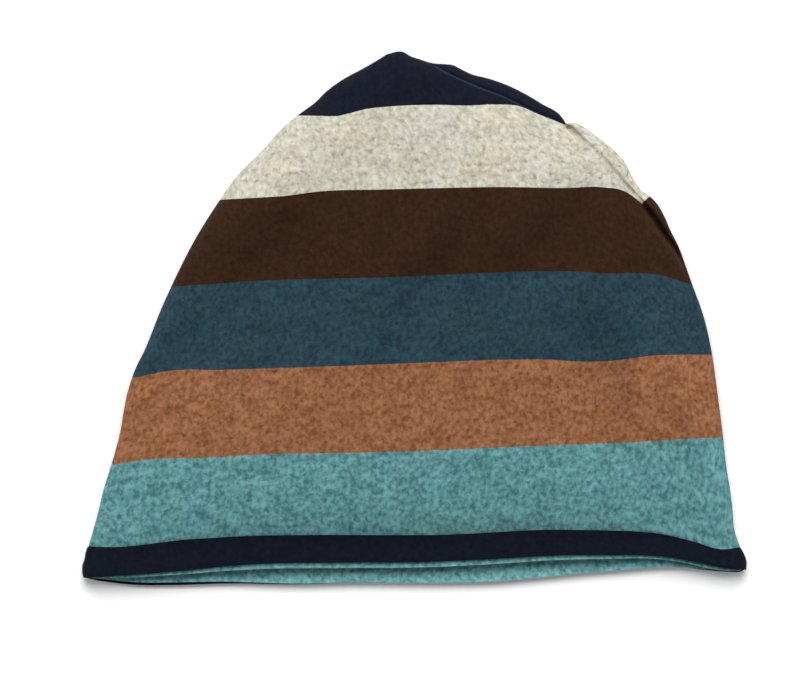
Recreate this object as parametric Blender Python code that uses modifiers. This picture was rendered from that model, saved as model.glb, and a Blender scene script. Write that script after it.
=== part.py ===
"""Striped jersey chemo beanie, lying flat on its back layer.

Metres, +Z up. The mouth faces -Y and the crown points to +Y. The hat is a double layer bag: a
front and a back panel of striped jersey, a narrow band round the mouth, and a plain lining with
a front and a back of its own. Every layer follows one puffed form, worked out from the courses
of the knit, so the layers nest with a constant gap.
"""
import functools
import math
from collections import namedtuple

import bmesh
import bpy
import numpy as np
from mathutils import Vector

# Driving sizes
HAT_WIDTH = 0.280
HAT_LENGTH = 0.2244
PUFF_HEIGHT = 0.026
OUTER_WALL = 0.0012
BAND_WALL = 0.0014
LINING_WALL = 0.0010
CLOTH_GAP = 0.0003
SEAM_VALLEY = 0.0006
BAND_SEAM = 0.0006
FOLD_AIR = 0.0020
EDGE_ROLL = 0.0060
GROOVE_DEPTH = 0.0008
GROOVE_REACH = 0.0035
LINING_REVEAL = 0.0017
LINING_TUCK = 0.0005

# Sizes that follow
LINING_DEPTH = max(OUTER_WALL, BAND_WALL) + CLOTH_GAP
EDGE_HEIGHT = LINING_DEPTH + LINING_WALL + FOLD_AIR
NOSE_SHARE = EDGE_ROLL / HAT_LENGTH

# Courses of the knit, from the hem at station 0 to the crown at station 1. Each runs from the
# left outline to the right outline or, above the petrol stripe, to the crown seam. x is a share
# of half the width, y and the rises over the chord are shares of the length, and loft is the
# height of the middle as a share of the puff height.
Course = namedtuple("Course", "name station left_x left_y right_x right_y rise_25 rise_50 rise_75 rise_90 loft")
COURSES = (
    Course("hem", 0.0000, -1.000, 0.017, 1.000, 0.026, 0.018, 0.020, 0.032, 0.020, 0.50),
    Course("band_top", 0.0536, -0.985, 0.069, 0.979, 0.070, 0.021, 0.023, 0.031, 0.019, 0.58),
    Course("shoulder", 0.1250, -0.953, 0.147, 0.957, 0.172, 0.009, 0.007, 0.011, 0.007, 0.83),
    Course("teal_top", 0.2195, -0.910, 0.225, 0.934, 0.276, 0.005, 0.001, -0.001, -0.001, 0.94),
    Course("copper_top", 0.3910, -0.850, 0.392, 0.896, 0.431, 0.004, 0.004, -0.003, 0.002, 1.00),
    Course("petrol_top", 0.5634, -0.736, 0.557, 0.824, 0.584, 0.008, 0.010, 0.011, 0.003, 0.98),
    Course("brown_top", 0.7335, -0.591, 0.721, 0.646, 0.745, 0.010, 0.010, 0.004, 0.001, 0.88),
    Course("oat_top", 0.8975, -0.354, 0.880, 0.325, 0.900, 0.003, 0.008, 0.004, 0.003, 0.64),
    Course("crown", 0.9515, -0.221, 0.946, 0.136, 0.949, 0.002, 0.004, 0.003, 0.001, 0.50),
    Course("tip", 1.0000, -0.098, 0.991, 0.031, 0.984, 0.009, 0.010, 0.006, 0.003, 0.38),
)
RISE_SHARES = (0.0, 0.25, 0.50, 0.75, 0.90, 1.0)

# The back layer's hem hangs out past the front one, and meets it again above the shoulder.
BACK_DROPS = (0.0, -0.037, -0.038, -0.033, -0.012, 0.0)
BACK_DROP_END = 0.25

# The back layer rolls out past the crown seam in three scallops. Stations, a width as a share
# of the length, and a lean under 1 where the scallop is fullest near its start.
Lobe = namedtuple("Lobe", "start end width lean")
LOBES = (
    Lobe(0.990, 0.843, 0.0215, 1.0),
    Lobe(0.850, 0.700, 0.0240, 1.0),
    Lobe(0.710, 0.560, 0.0235, 0.42),
)
LOBE_FULLNESS = 0.6
STRIP_SPARE = 1.15
STRIP_ROLL = STRIP_SPARE * max(lobe.width for lobe in LOBES) * HAT_LENGTH

# Soft folds of the front. The middle is a share of half the width and of the length, the
# heading turns from +X to +Y, and half length, half width and height are shares of the length.
Fold = namedtuple("Fold", "x y heading half_length half_width height")
FOLDS = (
    Fold(0.62, 0.775, 128.0, 0.085, 0.0110, 0.0050),
    Fold(0.56, 0.765, 142.0, 0.080, 0.0110, -0.0045),
    Fold(0.54, 0.735, 158.0, 0.080, 0.0130, 0.0040),
    Fold(0.06, 0.610, 48.0, 0.120, 0.0330, -0.0055),
    Fold(-0.49, 0.650, 62.0, 0.110, 0.0500, -0.0050),
    Fold(0.39, 0.650, 76.0, 0.090, 0.0320, -0.0050),
    Fold(0.64, 0.415, 104.0, 0.140, 0.0320, -0.0065),
    Fold(0.80, 0.350, 96.0, 0.065, 0.0240, -0.0045),
)
DOME_POWER = 2.6

# How finely each panel is cut
FRONT_COLUMNS = 20
EDGE_COLUMNS = 3
STRIP_COLUMNS = 4
UNDER_COLUMNS = 9
UPSIDE = 2 * EDGE_COLUMNS + FRONT_COLUMNS
UNDERSIDE = 2 * EDGE_COLUMNS + UNDER_COLUMNS
BACK_COLUMNS = UNDERSIDE + STRIP_COLUMNS
CROWN_ROWS = 4
NOSE_ROWS = 3
BAND_ROWS = 3
EDGE_CUT = 0.3

# Stripes upwards from the band: the course that ends it, its rows, and its colour
Stripe = namedtuple("Stripe", "name end rows colour")
STRIPES = (
    Stripe("light_teal", "teal_top", 4, (0.098, 0.250, 0.262)),
    Stripe("copper", "copper_top", 3, (0.288, 0.120, 0.054)),
    Stripe("petrol", "petrol_top", 3, (0.023, 0.054, 0.072)),
    Stripe("brown", "brown_top", 4, (0.040, 0.018, 0.010)),
    Stripe("oatmeal", "oat_top", 4, (0.610, 0.584, 0.485)),
)
NAVY = (0.012, 0.014, 0.026)
LINING_TEAL = (0.098, 0.250, 0.262)
JERSEY_ROUGHNESS = 0.9

# The rounded fold takes at most this share of a short course, and the lining's front hangs out
# least near the mouth's corners
EDGE_LIMIT = 0.4
REVEAL_POWER = 6

# Steps of the outline that the fold is measured from, and of the slopes
MOUTH_REACH = -0.02
OUTLINE_STEPS = 500
TIP_STEPS = 40
NORMAL_STEP = 0.001
NORMAL_MARGIN = 0.008
WELD = 0.00001


def spline(knots, values, at, flat_ends=False):
    """Value of the cubic through the knots, each slope taken from the knot's neighbours."""
    spans = [knots[k + 1] - knots[k] for k in range(len(knots) - 1)]
    slopes = [(values[k + 1] - values[k]) / spans[k] for k in range(len(spans))]
    tangents = [0.0 if flat_ends else slopes[0]]
    for k in range(1, len(spans)):
        tangents.append((spans[k] * slopes[k - 1] + spans[k - 1] * slopes[k]) / (spans[k - 1] + spans[k]))
    tangents.append(0.0 if flat_ends else slopes[-1])
    if at <= knots[0]:
        return values[0] + tangents[0] * (at - knots[0])
    if at >= knots[-1]:
        return values[-1] + tangents[-1] * (at - knots[-1])
    k = next(k for k in range(len(spans)) if at <= knots[k + 1])
    part = (at - knots[k]) / spans[k]
    start = (1 + 2 * part) * (1 - part) ** 2 * values[k] + part * (1 - part) ** 2 * spans[k] * tangents[k]
    end = part ** 2 * (3 - 2 * part) * values[k + 1] - part ** 2 * (1 - part) * spans[k] * tangents[k + 1]
    return start + end


@functools.lru_cache(maxsize=None)
def course_at(station):
    """The course at any station, blended from the courses in the table."""
    stations = [course.station for course in COURSES]
    columns = zip(*[course[2:] for course in COURSES])
    return Course("between", station, *[spline(stations, column, station) for column in columns])


def station_of(name):
    """Station of a named course."""
    return next(course.station for course in COURSES if course.name == name)


def left_end(station):
    """Plan point where a course meets the left outline."""
    course = course_at(station)
    return Vector((course.left_x * HAT_WIDTH / 2, course.left_y * HAT_LENGTH))


def seam_end(station):
    """Plan point where a course meets the crown seam or, lower down, the right outline."""
    course = course_at(station)
    return Vector((course.right_x * HAT_WIDTH / 2, course.right_y * HAT_LENGTH))


def course_line(station):
    """Unit plan direction of a course, from left to right."""
    return (seam_end(station) - left_end(station)).normalized()


@functools.lru_cache(maxsize=None)
def outward(station):
    """Unit plan direction square to the right outline, away from the hat."""
    run = seam_end(min(station + NORMAL_STEP, 1.0)) - seam_end(station - NORMAL_STEP)
    return Vector((run.y, -run.x)).normalized()


@functools.lru_cache(maxsize=None)
def slants(station):
    """Sine of the angle at which a course meets the left outline, and of the one at the right."""
    run = left_end(min(station + NORMAL_STEP, 1.0)) - left_end(station - NORMAL_STEP)
    left = abs(run.normalized().cross(course_line(station)))
    return left, abs(outward(station).dot(course_line(station)))


def lobe_width(station):
    """How far the back layer rolls out past the seam."""
    width = 0.0
    for lobe in LOBES:
        along = (lobe.start - station) / (lobe.start - lobe.end)
        if 0.0 < along < 1.0:
            swell = math.sin(math.pi * along ** lobe.lean) ** LOBE_FULLNESS
            width = max(width, lobe.width * HAT_LENGTH * swell)
    return width


def rise(station, share):
    """How far a course runs above its chord at a share of its width."""
    course = course_at(station)
    rises = (0.0, course.rise_25, course.rise_50, course.rise_75, course.rise_90, 0.0)
    return spline(RISE_SHARES, rises, share, flat_ends=True) * HAT_LENGTH


def back_drop(station, share):
    """How far the back layer hangs out below the front one, near the mouth."""
    fade = max(0.0, 1.0 - max(station, 0.0) / BACK_DROP_END) ** 2
    return spline(RISE_SHARES, BACK_DROPS, share) * HAT_LENGTH * fade


def fold_height(plan):
    """Sum of the soft folds at a plan point."""
    total = 0.0
    for fold in FOLDS:
        away = plan - Vector((fold.x * HAT_WIDTH / 2, fold.y * HAT_LENGTH))
        heading = math.radians(fold.heading)
        along = away.dot(Vector((math.cos(heading), math.sin(heading)))) / (fold.half_length * HAT_LENGTH)
        aside = away.dot(Vector((-math.sin(heading), math.cos(heading)))) / (fold.half_width * HAT_LENGTH)
        total += fold.height * HAT_LENGTH * math.exp(-along ** 2 - aside ** 2)
    return total


def nose_station(along):
    """Station of a row. The rows of the nose are spaced by angle, so that they round it."""
    if along <= 1.0 - NOSE_SHARE:
        return along
    angle = math.pi / 2 * (1.0 - along) / NOSE_SHARE
    return 1.0 - NOSE_SHARE * (1.0 - math.cos(angle))


def edge_lengths(width, station):
    """How far in from each end a course is inside the rounded fold of the outline."""
    left, right = slants(station)
    return min(EDGE_ROLL / left, width * EDGE_LIMIT), min(EDGE_ROLL / right, width * EDGE_LIMIT)


def spaced(across, width, station, edge_part):
    """Distance in from the left at a share across. Near both ends it rounds the fold by angle."""
    left, right = edge_lengths(width, station)
    if across < edge_part:
        return left * (1.0 - math.cos(math.pi / 2 * across / edge_part))
    if across > 1.0 - edge_part:
        return width - right * (1.0 - math.cos(math.pi / 2 * (1.0 - across) / edge_part))
    return left + (across - edge_part) / (1.0 - 2 * edge_part) * (width - left - right)


class Layer:
    """The puffed form of one layer, as points on its upper and its under side.

    A scalloped layer rolls out past the crown seam, and any other ends at it.
    """

    def __init__(self, scalloped):
        self.scalloped = scalloped
        stations = [MOUTH_REACH + (1.0 - MOUTH_REACH) * k / OUTLINE_STEPS for k in range(OUTLINE_STEPS + 1)]
        left = [left_end(station) for station in stations]
        tip = [self.plan(self.width(1.0) * k / TIP_STEPS, 1.0) for k in range(1, TIP_STEPS)]
        right = [self.right_end(station) for station in reversed(stations)]
        points = np.array([tuple(point) for point in left + tip + right])
        self.starts, self.runs = points[:-1], np.diff(points, axis=0)

    def lobe(self, station):
        """Width of this layer's scallop past the seam."""
        return lobe_width(station) if self.scalloped else 0.0

    def width(self, station):
        """Full width of a course, from the left outline to the right one."""
        return (seam_end(station) - left_end(station)).length + self.lobe(station)

    def right_end(self, station):
        """Plan point where a course meets this layer's right outline."""
        return seam_end(station) + outward(station) * self.lobe(station)

    def plan(self, distance, station):
        """Plan point of the upper side a distance in from the left outline, along a course."""
        front = self.width(station) - self.lobe(station)
        if distance > front:
            return seam_end(station) + outward(station) * (distance - front)
        share = distance / front
        return left_end(station).lerp(seam_end(station), share) + Vector((0.0, rise(station, share)))

    def fold(self, plan):
        """Height share of the rounded fold: 0 on the outline, and 1 from the edge's roll inwards."""
        away = np.array(tuple(plan)) - self.starts
        part = np.clip((away * self.runs).sum(1) / (self.runs ** 2).sum(1), 0.0, 1.0)
        nearest = (((away - part[:, None] * self.runs) ** 2).sum(1)).min() ** 0.5
        return math.sqrt(1.0 - max(0.0, 1.0 - nearest / EDGE_ROLL) ** 2)

    def upper(self, distance, station):
        """Point of the upper side a distance in from the left outline, along a course."""
        full = self.width(station)
        plan = self.plan(distance, station)
        dome = 1.0 - abs(2.0 * distance / full - 1.0) ** DOME_POWER
        puff = course_at(station).loft * PUFF_HEIGHT - 2 * EDGE_HEIGHT + fold_height(plan)
        groove = GROOVE_DEPTH * math.exp(-((full - self.lobe(station) - distance) / GROOVE_REACH) ** 2)
        groove *= min(1.0, self.lobe(station) / GROOVE_REACH)
        height = EDGE_HEIGHT * (1.0 + self.fold(plan)) + puff * dome - groove
        return Vector((plan.x, plan.y, height))

    def under(self, distance, station):
        """Point of the under side a distance in from the left outline, along a course."""
        share = distance / self.width(station)
        plan = left_end(station).lerp(self.right_end(station), share)
        plan.y += rise(station, share) + back_drop(station, share)
        valley = SEAM_VALLEY * (1.0 - share * min(1.0, 2.0 * self.lobe(station) / GROOVE_REACH))
        return Vector((plan.x, plan.y, (EDGE_HEIGHT - valley) * (1.0 - self.fold(plan))))

    def front_panel(self, across, along):
        """Upper side from the left outline, at 0, to the seam, at 1."""
        station = nose_station(along)
        front = self.width(station) - self.lobe(station)
        return self.upper(spaced(across, front, station, EDGE_COLUMNS / UPSIDE), station)

    def full_front(self, across, along):
        """Upper side from the left outline, at 0, to the right outline, at 1."""
        station = nose_station(along)
        return self.upper(spaced(across, self.width(station), station, EDGE_COLUMNS / UPSIDE), station)

    def full_back(self, across, along):
        """Under side from the left outline, at 0, to the right outline, at 1."""
        station = nose_station(along)
        return self.under(spaced(across, self.width(station), station, EDGE_COLUMNS / UNDERSIDE), station)

    def back_panel(self, across, along):
        """Under side from the left outline, at 0, round the right edge and up to the seam, at 1."""
        station = nose_station(along)
        full = self.width(station)
        flat_part = (EDGE_COLUMNS + UNDER_COLUMNS) / BACK_COLUMNS
        if across <= flat_part:
            under_across = across * BACK_COLUMNS / UNDERSIDE
            return self.under(spaced(under_across, full, station, EDGE_COLUMNS / UNDERSIDE), station)
        part = (across - flat_part) / (1.0 - flat_part)
        angle = (math.pi / 2 + self.seam_turn(station)) * part - math.pi / 2
        if angle <= 0.0:
            return self.under(full - edge_lengths(full, station)[1] * (1.0 - math.cos(angle)), station)
        return self.upper(full - STRIP_ROLL * (1.0 - math.cos(angle)), station)

    def seam_turn(self, station):
        """Angle up from the right outline at which the back layer meets the seam."""
        seam_angle = math.acos(1.0 - self.lobe(station) / STRIP_ROLL)
        return max(0.0, seam_angle - SEAM_VALLEY / STRIP_ROLL)


def inside(surface, across, along, depth, outward_z):
    """Point a depth inside a surface, square to it. outward_z is 1 on top and -1 underneath."""
    a = min(max(across, NORMAL_MARGIN), 1.0 - NORMAL_MARGIN)
    b = min(along, 1.0 - NORMAL_MARGIN)
    run = surface(a + NORMAL_STEP, b) - surface(a - NORMAL_STEP, b)
    climb = surface(a, b + NORMAL_STEP) - surface(a, b - NORMAL_STEP)
    return surface(across, along) - run.cross(climb).normalized() * depth * outward_z


def cuts(count):
    """Even shares from 0 to 1, with one more close to each end, where a sheet turns in."""
    even = [k / count for k in range(count + 1)]
    return [0.0, EDGE_CUT / count] + even[1:-1] + [1.0 - EDGE_CUT / count, 1.0]


def rows_between(start, end, count):
    """Even rows from one station to another, without the last."""
    return [start + (end - start) * k / count for k in range(count)]


def panel_rows():
    """Rows from the band up to the tip, and the stripe that lies above each row."""
    rows, stripes = [], []
    start = station_of("band_top") + BAND_SEAM / HAT_LENGTH
    for number, stripe in enumerate(STRIPES):
        rows += rows_between(start, station_of(stripe.end), stripe.rows)
        stripes += [number] * stripe.rows
        start = station_of(stripe.end)
    rows += rows_between(start, 1.0 - NOSE_SHARE, CROWN_ROWS)
    rows += rows_between(1.0 - NOSE_SHARE, 1.0, NOSE_ROWS)
    rows += [1.0 - EDGE_CUT * NOSE_SHARE / NOSE_ROWS, 1.0]
    stripes += [len(STRIPES)] * (CROWN_ROWS + NOSE_ROWS + 1)
    return rows, stripes


def jersey(name, colour):
    """Plain matt jersey of one colour."""
    material = bpy.data.materials.new(name)
    material.use_nodes = True
    shader = material.node_tree.nodes["Principled BSDF"]
    shader.inputs["Base Color"].default_value = (*colour, 1.0)
    shader.inputs["Roughness"].default_value = JERSEY_ROUGHNESS
    shader.inputs["Metallic"].default_value = 0.0
    material.diffuse_color = (*colour, 1.0)
    return material


def bent_grid(columns, rows, point, slot_of_row=None):
    """Grid primitive bent to a surface. point takes a value of columns and one of rows."""
    form = bmesh.new()
    last_column, last_row = len(columns) - 1, len(rows) - 1
    bmesh.ops.create_grid(form, x_segments=last_column, y_segments=last_row, size=1.0)
    if slot_of_row:
        for face in form.faces:
            face.material_index = slot_of_row[int((face.calc_center_median().y + 1.0) / 2 * last_row)]
    for vert in form.verts:
        column = columns[round((vert.co.x + 1.0) / 2 * last_column)]
        row = rows[round((vert.co.y + 1.0) / 2 * last_row)]
        vert.co = point(column, row)
    return form


def cloth(name, form, wall, materials, collection):
    """Object of one piece of cloth: its outer face as given, thickened inwards to its wall."""
    mesh = bpy.data.meshes.new(name)
    form.to_mesh(mesh)
    form.free()
    for material in materials:
        mesh.materials.append(material)
    mesh.shade_smooth()
    piece = bpy.data.objects.new(name, mesh)
    piece.location = (0.0, -HAT_LENGTH / 2, 0.0)
    collection.objects.link(piece)
    thickness = piece.modifiers.new("wall", "SOLIDIFY")
    thickness.thickness = wall
    thickness.offset = -1.0
    return piece


def build_panels(outer, collection):
    """Front and back panel, each one piece of striped jersey."""
    rows, stripes = panel_rows()
    colours = [jersey(stripe.name, stripe.colour) for stripe in STRIPES] + [jersey("navy", NAVY)]
    form = bent_grid(cuts(UPSIDE), rows, outer.front_panel, stripes)
    cloth("front_panel", form, OUTER_WALL, colours, collection)
    form = bent_grid(cuts(BACK_COLUMNS), rows, outer.back_panel, stripes)
    bmesh.ops.reverse_faces(form, faces=form.faces)
    cloth("back_panel", form, OUTER_WALL, colours, collection)


def build_band(outer, collection):
    """Navy band: one ring round the mouth, over the front and back under the hat."""
    over = [(outer.full_front, share) for share in cuts(UPSIDE)]
    below = [(outer.full_back, share) for share in reversed(cuts(UNDERSIDE))]
    rows = rows_between(0.0, station_of("band_top"), BAND_ROWS) + [station_of("band_top")]
    form = bent_grid(over + below + over[:1], rows, lambda side, along: side[0](side[1], along))
    bmesh.ops.remove_doubles(form, verts=form.verts, dist=WELD)
    cloth("hem_band", form, BAND_WALL, [jersey("navy_band", NAVY)], collection)


def build_lining(inner, collection):
    """Plain lining: a front that peeps out below the band, and a back tucked in behind it."""
    rows = rows_between(0.0, station_of("band_top"), BAND_ROWS)
    rows += [row for row in panel_rows()[0] if row < 1.0 - NOSE_SHARE / 2] + [1.0 - NOSE_SHARE / 2]

    def front_point(across, along):
        if along == 0.0:
            along -= LINING_REVEAL / HAT_LENGTH * (1.0 - math.cos(math.pi * across) ** REVEAL_POWER)
        return inside(inner.full_front, across, along, LINING_DEPTH, 1.0)

    def back_point(across, along):
        if along == 0.0:
            along += LINING_TUCK / HAT_LENGTH
        return inside(inner.full_back, across, along, LINING_DEPTH, -1.0)

    form = bent_grid(cuts(UPSIDE), rows, front_point)
    cloth("lining_front", form, LINING_WALL, [jersey("lining_front_teal", LINING_TEAL)], collection)
    form = bent_grid(cuts(UNDERSIDE), rows, back_point)
    bmesh.ops.reverse_faces(form, faces=form.faces)
    cloth("lining_back", form, LINING_WALL, [jersey("lining_back_teal", LINING_TEAL)], collection)


def main():
    """Builds the hat."""
    for item in list(bpy.data.objects):
        bpy.data.objects.remove(item, do_unlink=True)
    collection = bpy.data.collections.new("chemo_beanie")
    bpy.context.scene.collection.children.link(collection)
    outer = Layer(scalloped=True)
    build_panels(outer, collection)
    build_band(outer, collection)
    build_lining(Layer(scalloped=False), collection)


main()
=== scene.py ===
"""Striped jersey beanie laid flat: its cloth, its lining and the studio around it.

The tables give places on the flat hat in millimetres: x to the right of its middle, y up from the
mouth's line to the crown. Meshes are made in metres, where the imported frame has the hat.
"""
from __future__ import annotations

import logging
import math
from dataclasses import dataclass
from enum import Enum

import bpy
import numpy as np
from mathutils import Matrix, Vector


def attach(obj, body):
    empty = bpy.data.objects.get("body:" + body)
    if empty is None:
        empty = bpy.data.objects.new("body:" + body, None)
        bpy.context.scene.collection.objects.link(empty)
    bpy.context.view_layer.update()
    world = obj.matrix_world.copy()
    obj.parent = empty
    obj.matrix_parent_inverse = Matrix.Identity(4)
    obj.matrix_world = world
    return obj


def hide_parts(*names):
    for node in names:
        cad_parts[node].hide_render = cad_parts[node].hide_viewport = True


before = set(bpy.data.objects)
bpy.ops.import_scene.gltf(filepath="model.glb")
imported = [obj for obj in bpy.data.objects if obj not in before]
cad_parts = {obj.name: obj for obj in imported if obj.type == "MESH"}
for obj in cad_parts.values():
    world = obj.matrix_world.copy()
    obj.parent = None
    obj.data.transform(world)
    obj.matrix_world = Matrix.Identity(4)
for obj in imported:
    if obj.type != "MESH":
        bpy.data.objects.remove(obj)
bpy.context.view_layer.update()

LOG = logging.getLogger("beanie")
MM = 0.001
# Names of the cloth's map, and of what each point of the cloth carries
CLOTH_MAP = "cloth"
CLOTH_HEIGHT = "cloth_height"
SEAM_DISTANCE = "seam_distance"
# Millimetres from the outline: nearer counts as on it, and further as far inside
ON_OUTLINE = 0.005
FAR_INSIDE = 14.0

Points = tuple[tuple[float, float], ...]
Colour = tuple[float, float, float]
Pair = tuple[np.ndarray, np.ndarray]
Socket = bpy.types.NodeSocket


class Side(Enum):
    """Which way a sheet of the flat hat faces."""

    OVER = 1
    UNDER = -1


# Outline of the hat, upwards from the mouth. Each side runs through the band to the band's top.
LEFT_BAND: Points = (
    (-139.4, 2.8), (-139.9, 5.4), (-139.7, 8.2), (-138.9, 10.4), (-138.5, 13.0), (-137.6, 16.0),
)
RIGHT_BAND: Points = ((139.6, 6.2), (139.7, 9.6), (138.3, 13.5), (137.0, 15.6))
LEFT_EDGE: Points = (
    (-137.2, 16.0), (-135.2, 22.7), (-132.9, 31.2), (-130.9, 39.6), (-128.3, 48.0), (-125.8, 56.4),
    (-123.7, 64.8), (-122.3, 73.3), (-120.5, 81.7), (-117.7, 90.1), (-113.6, 98.5), (-106.8, 115.4),
    (-99.9, 130.5), (-93.0, 144.0), (-84.8, 157.4), (-72.7, 174.1), (-65.7, 180.9), (-52.8, 194.5),
    (-46.3, 199.4), (-41.7, 202.8), (-37.4, 207.1), (-30.8, 212.0), (-21.7, 217.0), (-16.8, 219.8),
    (-11.5, 223.1),
)


@dataclass(frozen=True)
class SeamPoint:
    """A place on the right edge, how far the back layer rolls out past it, and the fold's depth."""

    x: float
    y: float
    roll: float
    crease: float


RIGHT_EDGE: tuple[SeamPoint, ...] = (
    SeamPoint(137.0, 15.6, 0.0, 0.0), SeamPoint(134.6, 22.7, 0.0, 0.0), SeamPoint(133.8, 31.2, 0.0, 0.0),
    SeamPoint(132.8, 39.6, 0.0, 0.0), SeamPoint(131.4, 48.0, 0.0, 0.0), SeamPoint(129.5, 64.8, 0.0, 0.0),
    SeamPoint(127.3, 81.7, 0.0, 0.0), SeamPoint(124.9, 98.5, 0.0, 0.8), SeamPoint(120.8, 115.4, 0.0, 1.2),
    SeamPoint(117.6, 123.8, 0.1, 2.2), SeamPoint(115.6, 128.8, 0.3, 2.9), SeamPoint(112.7, 134.6, 1.1, 3.5),
    SeamPoint(109.7, 140.6, 1.9, 4.0), SeamPoint(104.6, 147.8, 3.3, 4.4), SeamPoint(101.4, 152.5, 4.4, 4.5),
    SeamPoint(97.3, 158.2, 4.9, 3.8), SeamPoint(95.9, 160.1, 4.5, 2.0), SeamPoint(93.0, 163.1, 3.6, 1.1),
    SeamPoint(88.8, 168.3, 4.1, 0.9), SeamPoint(84.2, 173.5, 5.9, 0.8), SeamPoint(79.6, 178.9, 5.7, 0.7),
    SeamPoint(73.8, 184.2, 5.2, 0.9), SeamPoint(68.4, 189.0, 4.4, 2.8), SeamPoint(66.0, 191.1, 3.7, 4.4),
    SeamPoint(64.6, 192.3, 2.5, 4.4), SeamPoint(63.5, 193.2, 0.8, 3.2), SeamPoint(61.3, 194.2, 2.3, 0.8),
    SeamPoint(58.0, 195.7, 3.6, 0.6), SeamPoint(52.7, 197.6, 4.4, 0.5), SeamPoint(44.4, 201.8, 5.0, 0.4),
    SeamPoint(36.8, 205.5, 5.0, 0.4), SeamPoint(28.0, 208.8, 4.7, 0.4), SeamPoint(23.0, 210.9, 3.8, 0.4),
    SeamPoint(18.1, 213.1, 3.9, 0.4), SeamPoint(14.0, 215.1, 3.9, 0.4), SeamPoint(10.8, 216.9, 2.3, 0.4),
    SeamPoint(8.2, 218.4, 0.8, 0.3), SeamPoint(5.6, 219.6, 0.1, 0.2), SeamPoint(1.6, 221.1, 0.0, 0.0),
    SeamPoint(-1.6, 221.9, 0.0, 0.0),
)
# The back layer's stripes along its rolled out edge: x, and the height up the cloth there
RIGHT_COURSES: Points = (
    (-1.6, 224.0), (34.0, 212.0), (63.6, 200.5), (80.0, 183.0), (99.0, 166.0), (108.0, 148.0),
    (116.8, 129.5), (121.6, 112.0), (125.2, 93.0), (127.3, 77.3), (129.8, 56.5), (132.8, 39.2),
    (137.0, 20.5),
)

# Lower edge of the band and of the back layer, and the band's top
FRONT_HEM: Points = (
    (-139.2, 2.6), (-125.0, 3.6), (-108.4, 4.8), (-95.6, 5.9), (-79.4, 7.6), (-65.0, 8.6),
    (-30.0, 9.2), (0.0, 9.3), (30.0, 10.5), (61.0, 12.2), (80.0, 12.3), (98.7, 12.1),
    (109.6, 11.0), (120.0, 8.9), (131.0, 6.7), (139.0, 5.9),
)
BACK_HEM: Points = (
    (-139.2, 2.6), (-134.5, 1.7), (-128.2, 0.8), (-115.6, -0.4), (-103.0, -0.4), (-77.7, 0.3),
    (-48.2, 0.0), (-27.2, 0.7), (10.7, 0.9), (36.0, 1.7), (48.6, 2.9), (61.3, 4.2),
    (73.9, 5.5), (86.5, 6.4), (99.2, 7.4), (111.8, 7.4), (120.2, 6.2), (128.6, 5.4), (139.0, 4.9),
)
BAND_TOP: Points = (
    (-138.0, 15.8), (-123.0, 15.8), (-110.0, 17.2), (-98.0, 18.7), (-85.0, 19.6), (-73.0, 20.3),
    (-48.0, 20.8), (-9.0, 20.8), (14.0, 21.0), (30.0, 21.8), (54.0, 23.0), (79.0, 22.8),
    (92.0, 22.4), (104.0, 21.2), (117.0, 18.2), (129.0, 14.8), (137.1, 15.6),
)


@dataclass(frozen=True)
class Course:
    """A line of the knit where one stripe ends, and its height up the cloth."""

    height: float
    line: Points


COURSES: tuple[Course, ...] = (
    Course(20.5, BAND_TOP),
    Course(56.5, (
        (-126.0, 50.5), (-112.0, 52.6), (-87.0, 53.4), (-62.0, 54.8), (-24.0, 55.5), (14.0, 56.7),
        (39.0, 57.9), (65.0, 58.9), (90.0, 59.8), (115.0, 61.3), (130.8, 61.9),
    )),
    Course(93.0, (
        (-117.0, 87.0), (-104.0, 89.7), (-80.0, 90.3), (-45.0, 91.4), (2.0, 93.2), (38.0, 94.5),
        (55.0, 94.6), (73.0, 93.6), (85.0, 94.2), (97.0, 95.9), (125.5, 96.7),
    )),
    Course(129.5, (
        (-101.0, 125.2), (-88.0, 126.1), (-68.0, 127.5), (-37.0, 128.5), (-7.0, 129.2), (23.0, 130.6),
        (64.0, 131.6), (84.0, 130.7), (94.0, 130.9), (104.0, 129.9), (114.0, 126.9), (116.5, 126.3),
    )),
    Course(166.0, (
        (-83.0, 161.7), (-64.0, 162.6), (-56.0, 163.1), (-39.0, 165.2), (-14.0, 165.9), (12.0, 166.5),
        (37.0, 166.9), (62.0, 166.6), (80.0, 166.9), (87.0, 165.8), (91.0, 163.7), (96.0, 159.8),
    )),
    Course(200.5, (
        (-49.5, 197.2), (-40.0, 196.9), (-32.0, 196.9), (-27.0, 198.0), (-21.0, 199.6), (-10.0, 200.8),
        (7.0, 201.5), (23.0, 201.2), (34.0, 201.7), (44.0, 201.0), (52.7, 197.4), (63.5, 193.2),
    )),
)
# Height up the cloth where the crown's stripe starts, and one past the tip
CROWN_COURSE = COURSES[-1].height
PAST_TIP = 250.0

# How far each side of the lining comes out below the band's edge
FRONT_REVEAL: Points = (
    (-140.0, 0.0), (-133.0, 0.5), (-124.0, 1.0), (-110.0, 1.2), (-92.0, 1.6), (-76.0, 2.0),
    (-58.0, 2.2), (0.0, 2.2), (60.0, 1.9), (86.0, 1.5), (100.0, 1.2), (112.0, 1.2), (128.0, 1.2),
    (135.0, 0.6), (140.0, 0.0),
)
BACK_REVEAL: Points = (
    (-140.0, -0.8), (-118.0, -1.2), (-94.0, -1.1), (-70.0, -0.6), (-30.0, -0.1), (40.0, 0.4),
    (105.0, 0.3), (116.0, 0.1), (123.0, -0.4), (140.0, -0.8),
)


class FoldKind(Enum):
    """How a fold's two sides meet."""

    STEP = 1
    RIDGE = 2


@dataclass(frozen=True)
class SoftFold:
    """A soft fold: its middle, the way it runs, its half sizes, its height and its kind.

    A step is high on the left of its way and low on the right. A negative ridge is a groove.
    """

    x: float
    y: float
    heading: float
    half_length: float
    half_width: float
    height: float
    kind: FoldKind = FoldKind.STEP


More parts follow.
